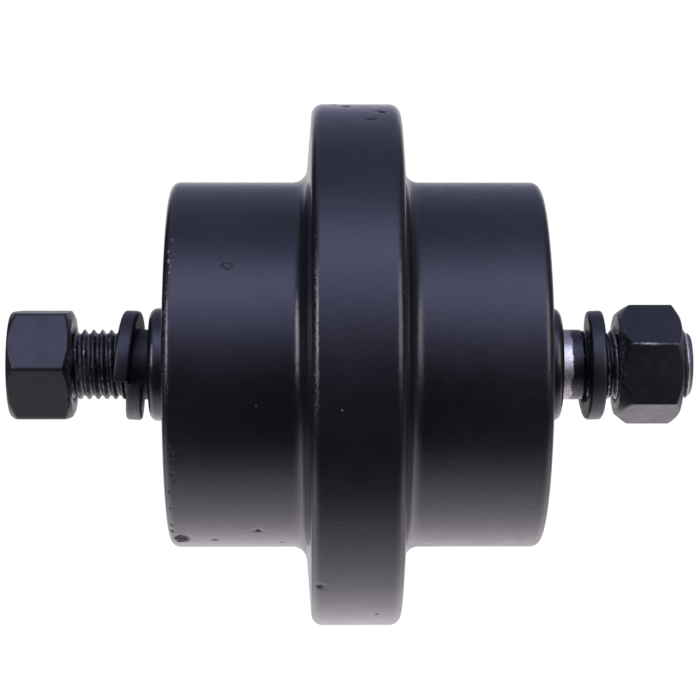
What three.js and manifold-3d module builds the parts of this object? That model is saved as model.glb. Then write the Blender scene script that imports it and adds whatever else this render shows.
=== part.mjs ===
// Track roller of a small excavator: a flanged shell that turns on a fixed shaft with threaded stub ends.
// Millimetres. Y is the spin axis, Z is up, and the origin is on the axis in the middle of the flange.
import * as THREE from 'three';
import { mergeVertices } from 'three/addons/utils/BufferGeometryUtils.js';
import Module from 'manifold-3d';

const wasm = await Module();
wasm.setup();

// Gaps between neighbouring pieces
const RUNNING_GAP = 0.2;
const SEAT_GAP = 0.15;
const FACE_GAP = 0.3;

// Roller shell
const TREAD_RADIUS = 41.4;
const SHELL_HALF_LENGTH = 41.6;
const FLANGE_RADIUS = 59;
const FLANGE_HALF_WIDTH_AT_RIM = 9.8;
const FLANGE_HALF_WIDTH_AT_ROOT = 11.2;
const TREAD_EDGE_RADIUS = 2.1;
const FLANGE_EDGE_RADIUS = 2.5;
const ROOT_FILLET = 3.25;
const BUSH_BORE_RADIUS = 18;
const BUSH_BORE_END = 28;

// Shaft with M16 stub ends
const STUB_RADIUS = 8;
const SHAFT_HALF_LENGTH = 76.2;
const STUB_CHAMFER = 1.2;
const JOURNAL_RADIUS = 14;
const JOURNAL_END = 30;
const THRUST_FLANGE_RADIUS = 17;
const THRUST_FLANGE_HALF_WIDTH = 4.7;

// End collars
const COLLAR_FACE = 46.65;
const BOSS_RADIUS = 12.85;
const BOSS_EDGE_RADIUS = 1.8;
const WEB_THICKNESS = 2.9;
const CUP_RADIUS = 28.8;
const CUP_MOUTH = 34.6;

// Floating face seals: one ring in the shell and one in the collar, each on its rubber ring
const SEAL_FACE = 33.05;
const SEAL_POCKET_DEPTH = 5.05;
const SEAL_POCKET_RADIUS = 25.1;
const SEAL_RING_BORE = 17.5;
const SEAL_RUBBER_RADIUS = 23;
const SEAL_RUBBER_SECTION = 1.75;

// O-rings, collar pins and filler plug
const O_RING_PLACE = 38;
const O_RING_SECTION = 1.1;
const PIN_RADIUS = 1.5;
const PIN_PLACE = 42.95;
const PIN_SHAFT_DEPTH = 2.3;
const PLUG_RADIUS = 3;
const PLUG_OFFSET = 16.2;
const PLUG_HEX = 3;
const PLUG_HEX_DEPTH = 1.5;

// Spring washers and nuts
const WASHER_BORE_RADIUS = 8.4;
const WASHER_WIDTH = 4;
const WASHER_THICKNESS = 3.6;
const WASHER_SAG = 0.15;
const NUT_ACROSS_FLATS = 24;
const NUT_HEIGHT = 14.2;
const LEFT_NUT_MIDDLE = -71;
const RIGHT_NUT_MIDDLE = 66.4;

const ROUND_STEPS = 48;
const SHELL_STEPS = 64;
const SMALL_STEPS = 16;
const WASHER_STEPS = 44;

const COLLAR_WEB_OUTSIDE = SHELL_HALF_LENGTH - 0.45;
const COLLAR_WEB_INSIDE = COLLAR_WEB_OUTSIDE - WEB_THICKNESS;

const radians = (degrees) => THREE.MathUtils.degToRad(degrees);

// ---- shapes ----

// Replaces one corner of an outline with an arc of the given radius.
function roundCorner(before, corner, after, radius, steps = 5) {
  const toBefore = before.clone().sub(corner).normalize();
  const toAfter = after.clone().sub(corner).normalize();
  const halfAngle = Math.acos(toBefore.dot(toAfter)) / 2;
  const bisector = toBefore.clone().add(toAfter).normalize();
  const centre = corner.clone().addScaledVector(bisector, radius / Math.sin(halfAngle));
  const reach = radius / Math.tan(halfAngle);
  const first = corner.clone().addScaledVector(toBefore, reach).sub(centre);
  const last = corner.clone().addScaledVector(toAfter, reach).sub(centre);
  const sweep = Math.atan2(first.cross(last), first.dot(last));
  const points = [];
  for (let step = 0; step <= steps; step += 1) {
    points.push(first.clone().rotateAround(new THREE.Vector2(), (sweep * step) / steps).add(centre));
  }
  return points;
}

// Turns corners [radius, y, fillet] into outline points.
function outline(corners) {
  const at = (index) => {
    const [radius, y] = corners[(index + corners.length) % corners.length];
    return new THREE.Vector2(radius, y);
  };
  return corners.flatMap(([, , fillet], index) =>
    fillet ? roundCorner(at(index - 1), at(index), at(index + 1), fillet) : [at(index)],
  );
}

// A body turned about Y. Corners on the axis start and end a solid one; otherwise it is a ring.
function turned(corners, steps = ROUND_STEPS) {
  const points = outline(corners);
  if (THREE.ShapeUtils.isClockWise(points)) points.reverse();
  const onAxis = corners.some(([radius]) => radius === 0);
  if (!onAxis) points.push(points[0].clone());
  return new THREE.LatheGeometry(points, steps);
}

// Corners from y = 0 up, mirrored to the other side of y = 0.
function mirrored(corners) {
  const other = corners.map(([radius, y, fillet]) => [radius, -y, fillet]);
  return [...corners, ...other.reverse()];
}

// The same corners on the left or the right end of the roller.
function onSide(side, corners) {
  return corners.map(([radius, y, fillet]) => [radius, side * y, fillet]);
}

function toSolid(geometry) {
  const bare = geometry.clone();
  bare.deleteAttribute('normal');
  bare.deleteAttribute('uv');
  const merged = mergeVertices(bare);
  const index = merged.index.array;
  const kept = [];
  for (let i = 0; i < index.length; i += 3) {
    const [a, b, c] = index.slice(i, i + 3);
    if (a !== b && b !== c && c !== a) kept.push(a, b, c);
  }
  return new wasm.Manifold(
    new wasm.Mesh({
      numProp: 3,
      vertProperties: new Float32Array(merged.attributes.position.array),
      triVerts: new Uint32Array(kept),
    }),
  );
}

function toGeometry(solid) {
  const mesh = solid.getMesh();
  const geometry = new THREE.BufferGeometry();
  geometry.setAttribute('position', new THREE.BufferAttribute(mesh.vertProperties, 3));
  geometry.setIndex(new THREE.BufferAttribute(mesh.triVerts, 1));
  geometry.computeVertexNormals();
  return geometry;
}

function cut(body, ...tools) {
  return toGeometry(tools.reduce((rest, tool) => rest.subtract(toSolid(tool)), toSolid(body)));
}

// A round bar along X, from one x to another, at the given y.
function barAlongX(radius, from, to, y) {
  const bar = new THREE.CylinderGeometry(radius, radius, Math.abs(to - from), SMALL_STEPS);
  return bar.rotateZ(Math.PI / 2).translate((from + to) / 2, y, 0);
}

// A bar along Y with the given number of sides, standing above the axis by offset.
function barAlongY(radius, from, to, offset = 0, sides = SMALL_STEPS, turn = 0) {
  const bar = new THREE.CylinderGeometry(radius, radius, Math.abs(to - from), sides, 1, false, turn);
  return bar.translate(0, (from + to) / 2, offset);
}

// ---- materials ----

function finish(colour, roughness, metalness) {
  return new THREE.MeshStandardMaterial({ color: colour, roughness, metalness });
}

const blackPaint = () => finish(0x17181c, 0.38, 0.1);
const bareSteel = () => finish(0x8f9094, 0.35, 1);
const oiledSteel = () => finish(0x1c1c20, 0.35, 0.6);
const bronze = () => finish(0xa8763a, 0.4, 1);
const castIron = () => finish(0x6a6b6e, 0.3, 1);
const rubber = () => finish(0x141414, 0.75, 0);
const zincPlate = () => finish(0xb6b6ae, 0.35, 1);

// ---- sub-parts ----

// One forged body: two treads, the central flange, the bush bore and a stepped pocket at each end.
function rollerShell() {
  const half = [
    [BUSH_BORE_RADIUS, BUSH_BORE_END],
    [SEAL_POCKET_RADIUS, SEAL_FACE - SEAL_POCKET_DEPTH],
    [SEAL_POCKET_RADIUS, CUP_MOUTH - 1],
    [CUP_RADIUS + 0.8, CUP_MOUTH - 1],
    [CUP_RADIUS + 0.8, SHELL_HALF_LENGTH - 0.6],
    [CUP_RADIUS + 1.4, SHELL_HALF_LENGTH],
    [TREAD_RADIUS, SHELL_HALF_LENGTH, TREAD_EDGE_RADIUS],
    [TREAD_RADIUS, FLANGE_HALF_WIDTH_AT_ROOT, ROOT_FILLET],
    [FLANGE_RADIUS, FLANGE_HALF_WIDTH_AT_RIM, FLANGE_EDGE_RADIUS],
  ];
  return turned(mirrored(half), SHELL_STEPS);
}

// The fixed shaft: threaded stubs, two journals and a thrust flange, with a blind hole for each pin.
function shaft() {
  const half = [
    [0, SHAFT_HALF_LENGTH],
    [STUB_RADIUS - 1, SHAFT_HALF_LENGTH],
    [STUB_RADIUS, SHAFT_HALF_LENGTH - STUB_CHAMFER],
    [STUB_RADIUS, JOURNAL_END],
    [JOURNAL_RADIUS - 0.6, JOURNAL_END],
    [JOURNAL_RADIUS, JOURNAL_END - 0.6],
    [JOURNAL_RADIUS, THRUST_FLANGE_HALF_WIDTH],
    [THRUST_FLANGE_RADIUS, THRUST_FLANGE_HALF_WIDTH],
  ];
  const body = turned(mirrored(half));
  const bottom = STUB_RADIUS - PIN_SHAFT_DEPTH - SEAT_GAP;
  const holes = [-1, 1].map((side) =>
    barAlongX(PIN_RADIUS + SEAT_GAP, -STUB_RADIUS - 2, -bottom, side * PIN_PLACE),
  );
  return cut(body, ...holes);
}

// A bronze bush, chamfered outside at both ends.
function bush(side) {
  const inner = JOURNAL_RADIUS + RUNNING_GAP;
  const outer = BUSH_BORE_RADIUS - SEAT_GAP;
  const start = THRUST_FLANGE_HALF_WIDTH + FACE_GAP;
  const end = BUSH_BORE_END - 0.5;
  const corners = [
    [inner, start],
    [outer - 0.5, start],
    [outer, start + 0.5],
    [outer, end - 0.5],
    [outer - 0.5, end],
    [inner, end],
  ];
  return turned(onSide(side, corners));
}

// The collar closes the shell's end: boss, web, seal cup and an O-ring groove in its bore.
function endCollar(side) {
  const bore = STUB_RADIUS + SEAT_GAP;
  const groove = bore + 2 * O_RING_SECTION + 0.3;
  const grooveHalf = O_RING_SECTION + 0.15;
  const corners = [
    [bore, JOURNAL_END + FACE_GAP],
    [BOSS_RADIUS, JOURNAL_END + FACE_GAP],
    [BOSS_RADIUS, COLLAR_WEB_INSIDE],
    [SEAL_POCKET_RADIUS, COLLAR_WEB_INSIDE],
    [SEAL_POCKET_RADIUS, CUP_MOUTH],
    [CUP_RADIUS, CUP_MOUTH],
    [CUP_RADIUS, COLLAR_WEB_OUTSIDE],
    [BOSS_RADIUS, COLLAR_WEB_OUTSIDE],
    [BOSS_RADIUS, COLLAR_FACE, BOSS_EDGE_RADIUS],
    [bore, COLLAR_FACE],
    [bore, O_RING_PLACE + grooveHalf],
    [groove, O_RING_PLACE + grooveHalf],
    [groove, O_RING_PLACE - grooveHalf],
    [bore, O_RING_PLACE - grooveHalf],
  ];
  const holes = [barAlongX(PIN_RADIUS + SEAT_GAP, -BOSS_RADIUS - 2, -bore + 2, side * PIN_PLACE)];
  if (side > 0) {
    const [from, to] = [COLLAR_WEB_INSIDE - 1, COLLAR_WEB_OUTSIDE + 1];
    holes.push(barAlongY(PLUG_RADIUS + SEAT_GAP, from, to, PLUG_OFFSET));
  }
  return cut(turned(onSide(side, corners)), ...holes);
}

// A spring pin through the collar into the shaft, on the -X side.
function collarPin(side) {
  const inner = STUB_RADIUS - PIN_SHAFT_DEPTH;
  return barAlongX(PIN_RADIUS, -(BOSS_RADIUS - 0.4), -inner, side * PIN_PLACE);
}

// A ring of round section about Y.
function toricRing(radius, section, y, sectionSteps) {
  return new THREE.TorusGeometry(radius, section, sectionSteps, ROUND_STEPS)
    .rotateX(Math.PI / 2)
    .translate(0, y, 0);
}

function collarORing(side) {
  const radius = STUB_RADIUS + O_RING_SECTION + 0.25;
  return toricRing(radius, O_RING_SECTION, side * O_RING_PLACE, 6);
}

// One metal ring of a face seal. The two rings of a pair mirror each other about the seal face.
function sealRing(side, towards) {
  const face = FACE_GAP / 2;
  const corners = [
    [SEAL_RING_BORE, face + 0.5],
    [SEAL_RING_BORE + 3, face],
    [SEAL_POCKET_RADIUS - 0.9, face],
    [SEAL_POCKET_RADIUS - 0.5, face + 0.4],
    [SEAL_POCKET_RADIUS - 0.5, face + 0.9],
    [SEAL_RUBBER_RADIUS - 2, face + 1.4],
    [SEAL_RUBBER_RADIUS - 2.6, SEAL_POCKET_DEPTH - 0.6],
    [SEAL_RING_BORE, SEAL_POCKET_DEPTH - 0.4],
  ];
  const placed = corners.map(([radius, depth]) => [radius, SEAL_FACE + towards * depth]);
  return turned(onSide(side, placed));
}

function sealRubber(side, towards) {
  const depth = SEAL_POCKET_DEPTH - SEAL_RUBBER_SECTION - 0.2;
  return toricRing(SEAL_RUBBER_RADIUS, SEAL_RUBBER_SECTION, side * (SEAL_FACE + towards * depth), 8);
}

// A short threaded plug with a hexagon socket, in the right collar's web.
function oilFillerPlug() {
  const top = COLLAR_WEB_OUTSIDE - 0.2;
  const body = barAlongY(PLUG_RADIUS, COLLAR_WEB_INSIDE + 0.1, top, PLUG_OFFSET);
  const socketRadius = PLUG_HEX / Math.sqrt(3);
  return cut(body, barAlongY(socketRadius, top - PLUG_HEX_DEPTH, top + 1, PLUG_OFFSET, 6));
}

// A square bar coiled into one left-handed turn. start is the angle above +X of its outboard end.
function springWasher({ side, middle, start, gap, rise, tilt, lean }) {
  const sweep = 2 * Math.PI - radians(gap);
  const bar = new THREE.BoxGeometry(WASHER_WIDTH, WASHER_THICKNESS, sweep, 1, 1, WASHER_STEPS);
  const spots = bar.attributes.position;
  for (let i = 0; i < spots.count; i += 1) {
    const along = spots.getZ(i) / sweep;
    const angle = radians(start) - side * (along + 0.5) * sweep;
    const radius = WASHER_BORE_RADIUS + WASHER_WIDTH / 2 + spots.getX(i);
    const y = -side * (spots.getY(i) + along * rise);
    spots.setXYZ(i, radius * Math.cos(angle), y, radius * Math.sin(angle));
  }
  return bar.rotateX(radians(tilt)).rotateZ(radians(lean)).translate(0, middle, -WASHER_SAG);
}

// A hexagon with chamfered corners and a countersunk bore. vertex is the angle of one corner. low and high are
// the chamfers, [radius of the flat face, degrees to it], of the face towards -Y and the one towards +Y.
function nut({ middle, vertex, low, high }) {
  const corner = NUT_ACROSS_FLATS / Math.sqrt(3);
  const outside = corner + 0.2;
  const half = NUT_HEIGHT / 2;
  const depth = ([faceRadius, degrees]) => (outside - faceRadius) * Math.tan(radians(degrees));
  const hexagon = barAlongY(corner, -half, half, 0, 6, radians(90 - vertex));
  const doubleCone = turned([
    [0, half],
    [high[0], half],
    [outside, half - depth(high)],
    [outside, depth(low) - half],
    [low[0], -half],
    [0, -half],
  ]);
  const bore = turned(
    mirrored([
      [0, half + 1],
      [STUB_RADIUS + SEAT_GAP + 1.9, half + 1],
      [STUB_RADIUS + SEAT_GAP, half - 0.9],
    ]),
  );
  const body = toSolid(hexagon).intersect(toSolid(doubleCone)).subtract(toSolid(bore));
  return toGeometry(body).translate(0, middle, 0);
}

// ---- assembly ----

const roller = new THREE.Group();

function add(name, geometry, material) {
  const mesh = new THREE.Mesh(geometry, material);
  mesh.name = name;
  roller.add(mesh);
}

const WASHERS = {
  left: { side: -1, middle: -50.6, start: -17.5, gap: 3, rise: 3.2, tilt: -3, lean: -0.8 },
  right: { side: 1, middle: 54.5, start: 200, gap: 5, rise: 2.4, tilt: 2.3, lean: 0.2 },
};
const NUTS = {
  left: { middle: LEFT_NUT_MIDDLE, vertex: -3.5, low: [11.7, 43], high: [11.1, 28] },
  right: { middle: RIGHT_NUT_MIDDLE, vertex: 20, low: [11.5, 51], high: [11.5, 36] },
};

add('roller_shell', rollerShell(), blackPaint());
add('shaft', shaft(), oiledSteel());

for (const [name, side] of [['left', -1], ['right', 1]]) {
  add(`${name}_bush`, bush(side), bronze());
  add(`${name}_end_collar`, endCollar(side), blackPaint());
  add(`${name}_collar_pin`, collarPin(side), bareSteel());
  add(`${name}_collar_o_ring`, collarORing(side), rubber());
  add(`${name}_seal_ring_rotating`, sealRing(side, -1), castIron());
  add(`${name}_seal_ring_fixed`, sealRing(side, 1), castIron());
  add(`${name}_seal_rubber_rotating`, sealRubber(side, -1), rubber());
  add(`${name}_seal_rubber_fixed`, sealRubber(side, 1), rubber());
  add(`${name}_spring_washer`, springWasher(WASHERS[name]), blackPaint());
  add(`${name}_nut`, nut(NUTS[name]), blackPaint());
}
add('oil_filler_plug', oilFillerPlug(), zincPlate());

export default roller;
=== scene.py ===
"""The looks of a track roller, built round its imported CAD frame.

Sizes are in millimetres until a mesh is made, and positions come from the frame's own boxes.
Y is the spin axis. An angle round it is counted from +X towards +Z, in degrees.
"""

import math

import bmesh
import bpy
import numpy as np
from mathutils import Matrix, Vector, noise


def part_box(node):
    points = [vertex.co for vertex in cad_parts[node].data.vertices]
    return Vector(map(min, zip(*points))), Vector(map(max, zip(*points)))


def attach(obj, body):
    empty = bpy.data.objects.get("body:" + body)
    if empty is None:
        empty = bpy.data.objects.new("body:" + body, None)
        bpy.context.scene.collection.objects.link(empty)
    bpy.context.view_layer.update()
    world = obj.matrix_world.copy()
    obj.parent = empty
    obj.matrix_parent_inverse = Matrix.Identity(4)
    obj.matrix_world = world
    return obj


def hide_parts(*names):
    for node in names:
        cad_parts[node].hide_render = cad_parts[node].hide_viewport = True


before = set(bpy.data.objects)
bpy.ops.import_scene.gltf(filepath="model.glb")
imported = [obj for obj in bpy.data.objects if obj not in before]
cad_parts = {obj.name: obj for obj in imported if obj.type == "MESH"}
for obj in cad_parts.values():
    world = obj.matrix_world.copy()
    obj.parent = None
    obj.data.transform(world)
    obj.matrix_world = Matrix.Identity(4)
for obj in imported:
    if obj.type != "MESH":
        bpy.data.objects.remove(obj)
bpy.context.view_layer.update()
MM = 0.001
FULL_TURN = 2 * math.pi

# ---- sizes: the first few read from the frame, the rest given ----


def span(node):
    """Lowest and highest corner of a CAD node, in millimetres."""
    low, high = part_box(node)
    return np.array(low) / MM, np.array(high) / MM


_, SHELL_END, FLANGE_RADIUS = span("roller_shell")[1]
_, SHAFT_END, THRUST_RADIUS = span("shaft")[1]
_, COLLAR_FACE, CUP_RADIUS = span("right_end_collar")[1]
PLUG_LOW, PLUG_HIGH = span("oil_filler_plug")
NUT_MIDDLE = {side: sum(corner[1] for corner in span(f"{side}_nut")) / 2 for side in ("left", "right")}
NUT_HALF_HEIGHT = (span("left_nut")[1][1] - span("left_nut")[0][1]) / 2

# Shell
TREAD_RADIUS = 41.4
TREAD_EDGE = 2.1
FLANGE_EDGE = 2.5
ROOT_FILLET = 3.25
FLANGE_RIM_HALF = 9.8
FLANGE_ROOT_HALF = 11.2
BUSH_BORE = 18
BUSH_BORE_END = 28
SEAL_POCKET = 25.1
SEAL_POCKET_END = 33.6
MOUTH_RADIUS = CUP_RADIUS + 0.8
MOUTH_CHAMFER = 0.6

# Stubs and nut bores: M16 coarse thread. Flats are the crest's and the root's share of the pitch
STUB_RADIUS = 8
PITCH = 2
THREAD_START = 51.2
CREST = 7.97
CREST_WEAR = 0.06
STUB_FLATS = (0.16, 0.22)
GREASED_DEPTH = 0.86
RUN_OUT = 1.6
TIP_RADIUS = STUB_RADIUS - 1.25
NUT_FLATS = (0.2, 0.2)
NUT_ROOT = 8.14
NUT_MOUTH_RADIUS = STUB_RADIUS + 1
NUT_THREAD_DEPTH = 0.9
BARE_BAND_END = 48.9
CENTRE_HOLE_DEPTH = 1.9

# Middle of the shaft
JOURNAL_RADIUS = 14
JOURNAL_END = 30
JOURNAL_CHAMFER = 0.6
THRUST_HALF_WIDTH = 4.7
THRUST_CHAMFER = 0.4

# Collars, with their pins, O-rings and plug
BOSS_RADIUS = 12.85
BOSS_EDGE = 1.8
BOSS_INNER_END = 30.3
WEB_OUTSIDE = SHELL_END - 0.45
WEB_INSIDE = WEB_OUTSIDE - 2.9
CUP_MOUTH = 34.6
SEAT_GAP = 0.15
PIN_RADIUS = 1.5
PIN_PLACE = 42.95
PIN_SLIT_DEGREES = 24
PIN_BORE_SHARE = 0.66
O_RING_PLACE = 38
O_RING_RADIUS = STUB_RADIUS + 1.35
O_RING_SECTION = 1.1
O_RING_GROOVE_HALF = 1.25
O_RING_GROOVE_DEPTH = 2.5
PLUG_RADIUS = 3
PLUG_HEX = 3
PLUG_HEX_DEPTH = 1.5
PLUG_CENTRE = tuple((PLUG_LOW + PLUG_HIGH)[[0, 2]] / 2)
CUTTER_CHAMFER = 0.01

# Face seals and bushes
SEAL_FACE = 33.05
SEAL_RUBBER_RADIUS = 23
SEAL_RUBBER_SECTION = 1.75
SEAL_RUBBER_PLACE = 3.1
BUSH_INSIDE = 14.2
BUSH_OUTSIDE = 17.85
OIL_GROOVE_RADIUS = 14.9

# Nuts and washers
ACROSS_FLATS = 24
NUT_VERTEX = {"left": -3.5, "right": 20}
# Radius of the flat face and degrees from it to the chamfer, at the -Y and +Y ends
NUT_ENDS = {"left": ((11.7, 43), (11.1, 28)), "right": ((11.5, 51), (11.5, 36))}
# How far the nut's long edges are rounded off
NUT_ROUNDING = {"left": 0.17, "right": 0.06}
WASHER_BORE = 8.4
WASHER_WIDTH = 4
WASHER_THICKNESS = 3.6
WASHER_FILLET = 0.75
WASHER_SAG = 0.15
# Middle along Y, angle of the outboard end, gap at the cut, rise of the coil, and the two leans in degrees
WASHERS = {
    "left": (-50.6, -17.5, 3, 3.2, -3, -0.8),
    "right": (54.5, 200, 5, 2.4, 2.3, 0.2),
}

SHARP_DEGREES = 32


# ---- mesh building ----


class Skin:
    """The patches of one closed surface, in millimetres, which build() welds together."""

    def __init__(self):
        self.points = []
        self.faces = []
        self.count = 0

    def patch(self, grid, seam_shift=0):
        """grid[j, k] is a point: j runs round the axis and closes on itself, k runs along it."""
        around, along = grid.shape[:2]
        ids = np.arange(around * along).reshape(around, along) + self.count
        following = np.roll(ids, -1, axis=0)
        if seam_shift:
            shifted = np.clip(np.arange(along) + seam_shift, 0, along - 1)
            following[-1] = ids[0][shifted]
        quads = np.stack([ids[:, :-1], following[:, :-1], following[:, 1:], ids[:, 1:]], axis=-1)
        self.points.append(grid.reshape(-1, 3))
        self.faces.append(quads.reshape(-1, 4))
        self.count += around * along

    def strip(self, sections):
        """sections[i, k] is a point: k runs round a closed section, i along a bar with flat ends."""
        steps, sides = sections.shape[:2]
        ids = np.arange(steps * sides).reshape(steps, sides) + self.count
        following = np.roll(ids, -1, axis=1)
        quads = np.stack([ids[:-1], following[:-1], following[1:], ids[1:]], axis=-1)
        self.points.append(sections.reshape(-1, 3))
        self.faces.append(quads.reshape(-1, 4))
        self.faces.append([ids[0].tolist(), ids[-1][::-1].tolist()])
        self.count += steps * sides

    def build(self, name, sharp_degrees=SHARP_DEGREES):
        points = np.concatenate(self.points) * MM
        faces = [tuple(face) for part in self.faces for face in part]
        mesh = bpy.data.meshes.new(name)
        mesh.from_pydata(points.tolist(), [], faces)
        weld = bmesh.new()
        weld.from_mesh(mesh)
        bmesh.ops.remove_doubles(weld, verts=weld.verts, dist=1e-3 * MM)
        bmesh.ops.dissolve_degenerate(weld, edges=weld.edges, dist=1e-4 * MM)
        bmesh.ops.recalc_face_normals(weld, faces=weld.faces)
        weld.to_mesh(mesh)
        weld.free()
        mesh.polygons.foreach_set("use_smooth", [True] * len(mesh.polygons))
        mesh.set_sharp_from_angle(angle=math.radians(sharp_degrees))
        piece = bpy.data.objects.new(name, mesh)
        bpy.context.scene.collection.objects.link(piece)
        return piece


def angles(steps):
    """Evenly spaced angles round a whole turn."""
    return np.arange(steps) * FULL_TURN / steps


def around_axis(radius, y, angle):
    """Points at a radius and a place along Y, at angles round it."""
    radius, y, angle = np.broadcast_arrays(radius, y, angle)
    return np.stack([radius * np.cos(angle), y, radius * np.sin(angle)], axis=-1)


def arc(before, corner, after, radius, steps):
    """The points that round one corner of an outline."""
    to_before = (before - corner) / np.linalg.norm(before - corner)
    to_after = (after - corner) / np.linalg.norm(after - corner)
    half = math.acos(np.clip(to_before @ to_after, -1, 1)) / 2
    middle = (to_before + to_after) / np.linalg.norm(to_before + to_after)
    centre = corner + middle * radius / math.sin(half)
    first = corner + to_before * radius / math.tan(half) - centre
    last = corner + to_after * radius / math.tan(half) - centre
    sweep = math.atan2(first[0] * last[1] - first[1] * last[0], first @ last)
    turns = np.linspace(0, sweep, steps + 1)
    cosines, sines = np.cos(turns), np.sin(turns)
    x = cosines * first[0] - sines * first[1]
    y = sines * first[0] + cosines * first[1]
    return centre + np.stack([x, y], axis=1)


def outline(corners, arc_steps=8, longest=None, closed=True):
    """Corners (radius, y, fillet) as points, with long straights cut to pieces no longer than longest."""
    spots = [np.array(corner[:2], float) for corner in corners]
    points = []
    for index, corner in enumerate(corners):
        fillet = corner[2] if len(corner) > 2 else 0
        before, after = spots[index - 1], spots[(index + 1) % len(spots)]
        if fillet:
            points.extend(arc(before, spots[index], after, fillet, arc_steps))
        else:
            points.append(spots[index])
    if closed:
        points.append(points[0])
    if longest is None:
        return np.array(points)
    dense = [points[0]]
    for start, end in zip(points, points[1:]):
        pieces = max(1, math.ceil(np.linalg.norm(end - start) / longest))
        dense.extend(start + (end - start) * step / pieces for step in range(1, pieces + 1))
    return np.array(dense)


def mirrored(corners):
    """An outline and its mirror image at -Y."""
    return corners + [(corner[0], -corner[1], *corner[2:]) for corner in reversed(corners)]


def on_side(sign, corners):
    return [(corner[0], sign * corner[1], *corner[2:]) for corner in corners]


def revolved(profile, steps):
    """The grid of points that an outline of (radius, y) makes when it is turned about Y."""
    return around_axis(profile[None, :, 0], profile[None, :, 1], angles(steps)[:, None])


def turned(name, corners, steps=192, arc_steps=8, longest=None):
    """A ring turned about Y from its closed outline."""
    skin = Skin()
    skin.patch(revolved(outline(corners, arc_steps, longest), steps))
    return skin.build(name)


def bar(name, radius, low, high, chamfer, steps=48, centre=(0, 0)):
    """A solid round bar along Y with chamfered ends, its axis at centre in X and Z."""
    rows = [(0, low), (radius - chamfer, low), (radius, low + chamfer)]
    rows += [(radius, high - chamfer), (radius - chamfer, high), (0, high)]
    skin = Skin()
    skin.patch(revolved(np.array(rows), steps) + np.array([centre[0], 0, centre[1]]))
    return skin.build(name)


def cut(piece, cutter):
    """Takes cutter away from piece, and cutter out of the scene."""
    change = piece.modifiers.new("cut", "BOOLEAN")
    change.object = cutter
    change.operation = "DIFFERENCE"
    change.solver = "EXACT"
    graph = bpy.context.evaluated_depsgraph_get()
    result = bpy.data.meshes.new_from_object(piece.evaluated_get(graph))
    piece.modifiers.clear()
    piece.data = result
    result.set_sharp_from_angle(angle=math.radians(SHARP_DEGREES))
    bpy.data.objects.remove(cutter)


def thread_phase(y, angle):
    """Where a point lies in the right-hand thread's pitch, from 0 at one crest to 1 at the next."""
    return np.mod(y / PITCH + angle / FULL_TURN + 0.5, 1)


def thread_depth(phase, crest_flat, root_flat):
    """0 on the crest and 1 in the root, with straight flanks between the two flats."""
    from_crest = np.abs(phase - np.round(phase)) * 2
    depth = (from_crest - crest_flat) / (1 - crest_flat - root_flat)
    return np.clip(depth, 0, 1)


def helical_patch(skin, radius_at, low, high, angle, rows_per_pitch):
    """A threaded surface from low to high, on a grid that leans with the right-hand helix."""
    rows = math.ceil((high - low) / PITCH * rows_per_pitch) + rows_per_pitch + 1
    first = np.arange(rows)[None, :] * PITCH / rows_per_pitch + low
    y = np.clip(first - PITCH * (angle - angle[0]) / FULL_TURN, low, high)
    skin.patch(around_axis(radius_at(y, angle), y, angle), seam_shift=-rows_per_pitch)


def smooth_least(a, b, soft):
    """The smaller of two values, rounded where they meet."""
    blend = np.clip(0.5 + (b - a) / (2 * soft), 0, 1)
    return b + (a - b) * blend - soft * blend * (1 - blend)


def coordinates(piece):
    """A piece's points in millimetres, as an array."""
    flat = np.zeros(len(piece.data.vertices) * 3, np.float32)
    piece.data.vertices.foreach_get("co", flat)
    return flat.reshape(-1, 3) / MM


def normals(piece):
    """The direction outwards at each of a piece's points."""
    flat = np.zeros(len(piece.data.vertices) * 3, np.float32)
    piece.data.vertex_normals.foreach_get("vector", flat)
    return flat.reshape(-1, 3)


def rough_noise(points, size, octaves=3):
    """Fractal noise from about -1 to 1 at each point, with features of the given size in millimetres."""
    return np.array([noise.fractal(Vector(point / size), 0.8, 2.1, octaves) for point in points])


# ---- pieces ----

pieces = {}


def place(piece, node, body, slot):
    """The piece stands for a CAD node, rides on its body and takes its finish from the slot."""
    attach(piece, body)
    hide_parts(node)
    pieces[node] = piece, slot


# Chips and pits: (angle, y, half size round, half size along, depth), in degrees and millimetres
CHIPS = [
    (80.4, -5.2, 1.3, 0.6, 0.4),
    (76.8, -2.3, 0.9, 0.65, 0.35),
    (70.3, 5.4, 0.9, 0.6, 0.35),
    (64.6, 3.1, 0.75, 0.4, 0.35),
    (65.4, 3.9, 0.4, 0.35, 0.2),
    (-53.0, -8.0, 0.8, 0.8, 0.2),
    (-67.0, 4.4, 0.4, 0.4, 0.1),
    (-68.3, -38.7, 2.4, 1.5, 0.5),
    (-62.5, -40.5, 0.7, 0.35, 0.2),
    (-58.0, -40.4, 0.4, 0.3, 0.15),
    (-61.3, -21.7, 0.65, 0.6, 0.25),
    (-69.6, -31.4, 0.5, 0.55, 0.2),
    (-72.2, -16.4, 0.35, 0.35, 0.1),
    (-24.6, -39.9, 0.45, 0.3, 0.15),
    (-27.0, -39.3, 0.5, 0.35, 0.15),
    (-29.2, -40.1, 0.35, 0.25, 0.1),
    (-31.6, -39.2, 0.35, 0.3, 0.1),
    (-33.9, -39.8, 0.5, 0.3, 0.15),
    (-36.6, -39.2, 0.35, 0.3, 0.1),
    (-41.0, -40.3, 0.6, 0.25, 0.1),
    (-48.5, -40.4, 0.4, 0.25, 0.1),
    (48.9, 33.0, 0.35, 0.4, 0.1),
    (14.8, 8.8, 0.25, 0.25, 0.05),
    (140.0, 22.0, 1.1, 0.9, 0.35),
    (205.0, -33.0, 1.2, 0.9, 0.35),
    (255.0, 4.0, 1.3, 1.0, 0.4),
    (120.0, 39.8, 1.2, 0.5, 0.3),
    (230.0, 40.0, 1.0, 0.5, 0.3),
]
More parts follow.
